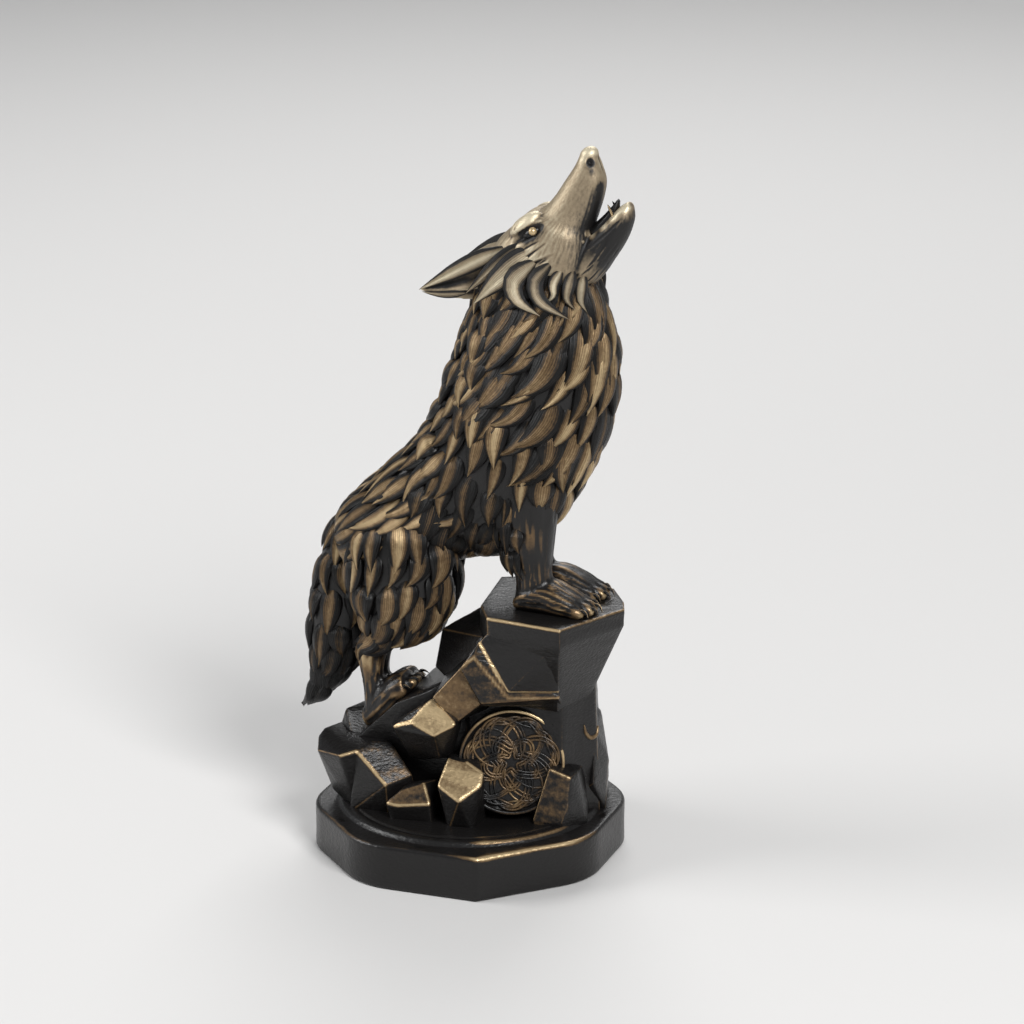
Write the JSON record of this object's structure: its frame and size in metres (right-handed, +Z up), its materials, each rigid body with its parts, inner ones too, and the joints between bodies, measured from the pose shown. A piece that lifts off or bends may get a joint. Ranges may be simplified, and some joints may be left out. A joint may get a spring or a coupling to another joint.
{
  "type": "wolf figurine",
  "caption": "Howling wolf figurine in black with bronze highlights, on a pile of split rock with a round knotwork boss and an octagonal plinth, cast in one piece.",
  "frame": {"origin": "centre of the plinth's flat underside", "axes": "+X the way the wolf faces, +Y the wolf's left side, +Z up"},
  "size_m": [0.0991, 0.0832, 0.2023],
  "materials": {
    "black_bronze": "satin black paint with bronze dry-brushed on the raised edges"
  },
  "bodies": {
    "root": {"wolf_figurine": "black_bronze"}
  },
  "joints": []
}
